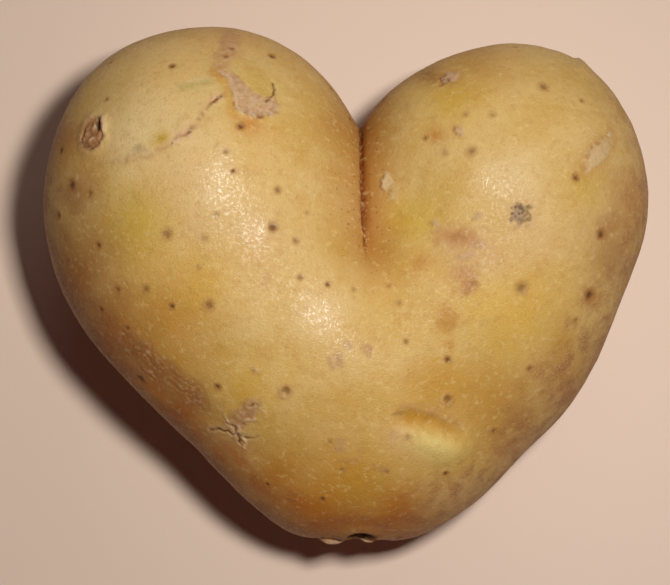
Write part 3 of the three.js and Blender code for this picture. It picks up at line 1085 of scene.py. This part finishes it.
def makePores(marks):
    pores = placePores(marks)
    points = marks["points"]
    nearest = np.full(len(points), np.inf)
    offset = np.tile([9.0, 0.0, 0.0], (len(points), 1))
    tone = np.zeros(len(points))
    for place, radius, dark in pores:
        off = (points - place) / radius
        away = np.linalg.norm(off, axis=1)
        nearer = away < nearest
        nearest[nearer] = away[nearer]
        offset[nearer] = off[nearer]
        tone[nearer] = dark
        marks["height"] -= topPores["depth"] * radius / 0.4 * dark * bell(away, 0.9)
        marks["height"] += 0.03 * bell(away - 2.0, 0.7)
    uneven = ease(unevenness(points, 0.9, 27.0), -0.3, 0.2)
    for ringed in topPores["ringed"]:
        fromRing = howFar(marks["plan"], ringed) - topPores["ringRadius"]
        raiseSkin(marks, 0.12 * bell(fromRing, 0.25))
        paint(marks, topPores["ringColour"], 0.7 * uneven * ease(np.abs(fromRing), 0.3, 0.05))
    marks["poreOffset"] = offset
    marks["poreFar"] = ease(nearest, 2.4, 3.4)
    marks["poreTone"] = tone
    print("pores:", len(pores))


# pressing the marks into the mesh

lumps = [  # size of the unevenness, its height
    (9.0, 0.30),
    (3.2, 0.10),
    (1.3, 0.035),
]


def weigh(piece, name, weights, least=0.0):
    group = piece.vertex_groups.new(name=name)
    for i in np.flatnonzero(weights > least).tolist():
        group.add([i], float(weights[i]), "REPLACE")


def press(piece, heights, name):
    # heights are in mm, one for each point, all of one sign
    deepest = np.abs(heights).max()
    weigh(piece, name, np.abs(heights) / deepest, 0.002)
    push = piece.modifiers.new(name, "DISPLACE")
    push.vertex_group = name
    push.mid_level = 0
    push.strength = math.copysign(deepest, heights.sum()) * mm
    bpy.ops.object.modifier_apply(modifier=name)
    piece.vertex_groups.remove(piece.vertex_groups[name])


def makeLumps(piece, marks):
    # the flat spots stay flat
    weigh(piece, "free", ease(marks["points"][:, 2], 0.0, 1.5))
    for number, (size, height) in enumerate(lumps):
        clouds = bpy.data.textures.new(f"lumps {number}", "CLOUDS")
        clouds.noise_scale = size * mm
        clouds.noise_depth = 1
        push = piece.modifiers.new("lumps", "DISPLACE")
        push.texture = clouds
        push.texture_coords = "LOCAL"
        push.vertex_group = "free"
        push.mid_level = 0.5
        push.strength = height * mm
        bpy.ops.object.modifier_apply(modifier="lumps")
    piece.vertex_groups.remove(piece.vertex_groups["free"])


def keepMarks(piece, marks):
    # leaves the marks on the mesh, where the material finds them
    attributes = piece.data.attributes
    colour = attributes.new("paint", "FLOAT_COLOR", "POINT")
    colour.data.foreach_set("color", np.column_stack([marks["colour"], marks["cover"]]).ravel())
    offset = attributes.new("poreOffset", "FLOAT_VECTOR", "POINT")
    offset.data.foreach_set("vector", marks["poreOffset"].ravel())
    for name in ("cover", "rough", "russet", "dots", "poreFar", "poreTone"):
        attributes.new(name, "FLOAT", "POINT").data.foreach_set("value", marks[name])


def makeMarks(piece):
    marks = startMarks(piece)
    for make in (makeStainsShadeAndSheen, makeSmudges, makeShine, makeRims, makeSwells, makeCleft, makeBrow,
                 makeScurf, makeEye, makeStarCrack, makeCrescent, makeFlakes, makeFold, makeScab,
                 makeWrinkles, makeScar, makeOtherEyes, makePores):
        make(marks)
    makeActive(piece)
    height = marks["height"] * ease(marks["points"][:, 2], 0.0, 1.0)
    press(piece, np.maximum(height, 0), "raised")
    press(piece, np.minimum(height, 0), "sunk")
    makeLumps(piece, marks)
    keepMarks(piece, marks)
    print("marks: height from", round(height.min(), 2), "to", round(height.max(), 2), "mm")


# the skin's material

finish = {
    "gold": (206, 167, 87),
    "pale": (222, 190, 127),
    "ochre": (200, 152, 64),
    "grain": (176, 124, 56),
    "light": (232, 202, 138),
    "speck": (122, 78, 34),
    "paleGrainAndGlint": (236, 210, 164),
    "russet": (170, 112, 68),
    "russetLine": (120, 76, 42),
    "poreCore": (98, 62, 36),
    "poreHalo": (156, 104, 52),
    "specksApart": 0.85,
    "paleGrainsApart": 0.54,
    "netWidth": 0.7,
    "roughness": (0.26, 0.50),
    "corkRoughness": 0.26,  # this much more where the skin is corky
    "bumps": 0.07,
    "depth": 0.88,  # all colours are this much darker than the chart gives them
}


class Nodes:
    # adds nodes to a material and links them in one line each
    def __init__(self, material):
        self.tree = material.node_tree
        self.count = 0

    def add(self, kind, **inputs):
        node = self.tree.nodes.new("ShaderNode" + kind)
        node.location = (-220 * (self.count % 12), -260 * (self.count // 12))
        self.count += 1
        for name, value in inputs.items():
            self.feed(node, name, value)
        return node

    def feed(self, node, name, value):
        key = int(name[1:]) if name[0] == "_" else name.replace("_", " ")
        socket = node.inputs[key]
        if isinstance(value, bpy.types.NodeSocket):
            self.tree.links.new(value, socket)
        else:
            socket.default_value = value

    def math(self, operation, first, second=0.0):
        node = self.add("Math", _0=first, _1=second)
        node.operation = operation
        return node.outputs[0]

    def noise(self, vector, size, detail=2.0):
        node = self.add("TexNoise", Vector=vector, Scale=1 / (size * mm), Detail=detail)
        return node.outputs["Fac"]

    def ease(self, value, start, end, bottom=0.0, top=1.0):
        node = self.add("MapRange", Value=value)
        node.interpolation_type = "SMOOTHSTEP"
        for key, number in zip((1, 2, 3, 4), (start, end, bottom, top)):
            node.inputs[key].default_value = number
        return node.outputs[0]

    def mix(self, amount, first, second):
        node = self.add("MixRGB", Fac=amount)
        for name, value in (("Color1", first), ("Color2", second)):
            if isinstance(value, tuple):
                value = (*linear(value), 1)
            self.feed(node, name, value)
        return node.outputs[0]

    def vector(self, operation, first, second, third=(0, 0, 0)):
        node = self.add("VectorMath", _0=first, _1=second, _2=third)
        node.operation = operation
        return node.outputs[0]

    def attribute(self, name, output="Fac"):
        node = self.add("Attribute")
        node.attribute_name = name
        return node.outputs[output]


def skinColour(nodes, place):
    paler = nodes.ease(nodes.noise(place, 8.0, 3.0), 0.3, 0.7, 0.15, 0.8)
    base = nodes.mix(paler, finish["gold"], finish["pale"])
    ochre = nodes.ease(nodes.noise(place, 5.0, 4.0), 0.50, 0.74, 0.0, 0.45)
    base = nodes.mix(ochre, base, finish["ochre"])
    # the painted marks lie over it, already multiplied by how much they cover
    bare = nodes.math("SUBTRACT", 1.0, nodes.attribute("cover"))
    colour = nodes.vector("MULTIPLY_ADD", base, bare, nodes.attribute("paint", "Color"))
    # fine mottling and grain
    mottle = nodes.ease(nodes.noise(place, 1.3, 3.0), 0.50, 0.72, 0.0, 0.22)
    colour = nodes.mix(mottle, colour, finish["grain"])
    light = nodes.ease(nodes.noise(place, 0.9, 2.0), 0.54, 0.74, 0.0, 0.35)
    colour = nodes.mix(light, colour, finish["light"])
    grain = nodes.ease(nodes.noise(place, 0.30, 2.0), 0.55, 0.72, 0.0, 0.30)
    return nodes.mix(grain, colour, finish["grain"])


def addSpecks(nodes, place, colour):
    cells = nodes.add("TexVoronoi", Vector=place, Scale=1 / (finish["specksApart"] * mm)).outputs
    chance = nodes.add("SeparateColor", Color=cells["Color"]).outputs[0]
    more = nodes.math("ADD", nodes.math("MULTIPLY", nodes.attribute("dots"), 0.16), 0.10)
    reach = nodes.math("MULTIPLY", chance, more)
    speck = nodes.math("LESS_THAN", cells["Distance"], reach)
    colour = nodes.mix(nodes.math("MULTIPLY", speck, 0.42), colour, finish["speck"])
    # pale grains, most of them where the skin is russet; they also stand in for tiny painted glints of
    # light all over the skin
    cells = nodes.add("TexVoronoi", Vector=place, Scale=1 / (finish["paleGrainsApart"] * mm)).outputs
    chance = nodes.add("SeparateColor", Color=cells["Color"]).outputs[1]
    more = nodes.math("ADD", nodes.math("MULTIPLY", nodes.attribute("russet"), 0.26), 0.05)
    grain = nodes.math("LESS_THAN", cells["Distance"], nodes.math("MULTIPLY", chance, more))
    return nodes.mix(nodes.math("MULTIPLY", grain, 0.5), colour, finish["paleGrainAndGlint"])


def addRusset(nodes, place, colour):
    # a fine net of corky lines, thickest where the skin is russet
    shaken = nodes.add("TexNoise", Vector=place, Scale=700.0).outputs["Color"]
    moved = nodes.vector("MULTIPLY_ADD", shaken, [0.9 * mm] * 3, place)
    net = nodes.add("TexVoronoi", Vector=moved, Scale=1 / (finish["netWidth"] * mm))
    net.feature = "DISTANCE_TO_EDGE"
    line = nodes.ease(net.outputs["Distance"], 0.02, 0.14, 1.0, 0.0)
    amount = nodes.attribute("russet")
    patchy = nodes.ease(nodes.noise(place, 2.4, 3.0), 0.38, 0.62)
    cover = nodes.math("MULTIPLY", amount, nodes.math("ADD", nodes.math("MULTIPLY", patchy, 0.45), 0.25))
    colour = nodes.mix(cover, colour, finish["russet"])
    lines = nodes.math("MULTIPLY", nodes.math("MULTIPLY", line, amount), patchy)
    return nodes.mix(nodes.math("MULTIPLY", lines, 0.4), colour, finish["russetLine"]), lines


def addPores(nodes, place, colour):
    # the offset from the pore's middle, in radii, made ragged by a noise around 0.5
    shaken = nodes.add("TexNoise", Vector=place, Scale=1600.0).outputs["Color"]
    ragged = nodes.vector("MULTIPLY_ADD", shaken, [1.1] * 3, nodes.attribute("poreOffset", "Vector"))
    length = nodes.add("VectorMath", _0=nodes.vector("SUBTRACT", ragged, [0.55] * 3))
    length.operation = "LENGTH"
    away = length.outputs["Value"]
    near = nodes.math("SUBTRACT", 1.0, nodes.attribute("poreFar"))
    tone = nodes.attribute("poreTone")
    halo = nodes.math("MULTIPLY", nodes.ease(away, 0.8, 2.6, 0.8, 0.0), near)
    halo = nodes.math("MULTIPLY", halo, tone)
    core = nodes.math("MULTIPLY", nodes.ease(away, 0.25, 1.25, 0.85, 0.0), near)
    core = nodes.math("MULTIPLY", core, nodes.math("SUBTRACT", nodes.math("MULTIPLY", tone, 1.15), 0.15))
    colour = nodes.mix(halo, colour, finish["poreHalo"])
    return nodes.mix(core, colour, finish["poreCore"]), core


def makeMaterial(piece):
    material = bpy.data.materials.new("potato skin")
    material.use_nodes = True
    surface = material.node_tree.nodes["Principled BSDF"]
    nodes = Nodes(material)
    place = nodes.add("TexCoord").outputs["Object"]

    colour = skinColour(nodes, place)
    colour = addSpecks(nodes, place, colour)
    colour, net = addRusset(nodes, place, colour)
    colour, pores = addPores(nodes, place, colour)
    nodes.feed(surface, "Base Color", nodes.vector("MULTIPLY", colour, [finish["depth"]] * 3))

    waxy, dull = finish["roughness"]
    rough = nodes.ease(nodes.noise(place, 0.5, 3.0), 0.42, 0.66, dull, waxy)
    russet = nodes.math("MULTIPLY", nodes.attribute("russet"), 0.6)
    corky = nodes.math("MAXIMUM", nodes.attribute("rough"), russet)
    corky = nodes.math("MAXIMUM", corky, pores)
    rough = nodes.math("ADD", rough, nodes.math("MULTIPLY", corky, finish["corkRoughness"]))
    nodes.feed(surface, "Roughness", rough)
    nodes.feed(surface, "Specular IOR Level", nodes.ease(corky, 0.0, 0.9, 0.48, 0.12))

    fine = nodes.noise(place, 0.32, 2.0)
    broad = nodes.noise(place, 1.1, 2.0)
    relief = nodes.math("ADD", fine, nodes.math("MULTIPLY", broad, 0.9))
    relief = nodes.math("ADD", relief, nodes.math("MULTIPLY", net, 0.7))
    relief = nodes.math("SUBTRACT", relief, nodes.math("MULTIPLY", pores, 0.8))
    bump = nodes.add("Bump", Height=relief, Distance=finish["bumps"] * mm, Strength=1.0)
    nodes.feed(surface, "Normal", bump.outputs[0])

    surface.inputs["Subsurface Weight"].default_value = 0.10
    surface.inputs["Subsurface Radius"].default_value = (1.0, 0.5, 0.2)
    surface.inputs["Subsurface Scale"].default_value = 0.0015
    piece.data.materials.clear()
    piece.data.materials.append(material)
    print("material:", len(material.node_tree.nodes), "nodes")


makeCamera()
makeLights()
makeFloor()
print("camera, lights and floor: made")
skin = makeSkin()
makeMarks(skin)
makeMaterial(skin)
print("size:", [round(v / mm, 1) for v in skin.dimensions])

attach(skin, "root")
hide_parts("potato")
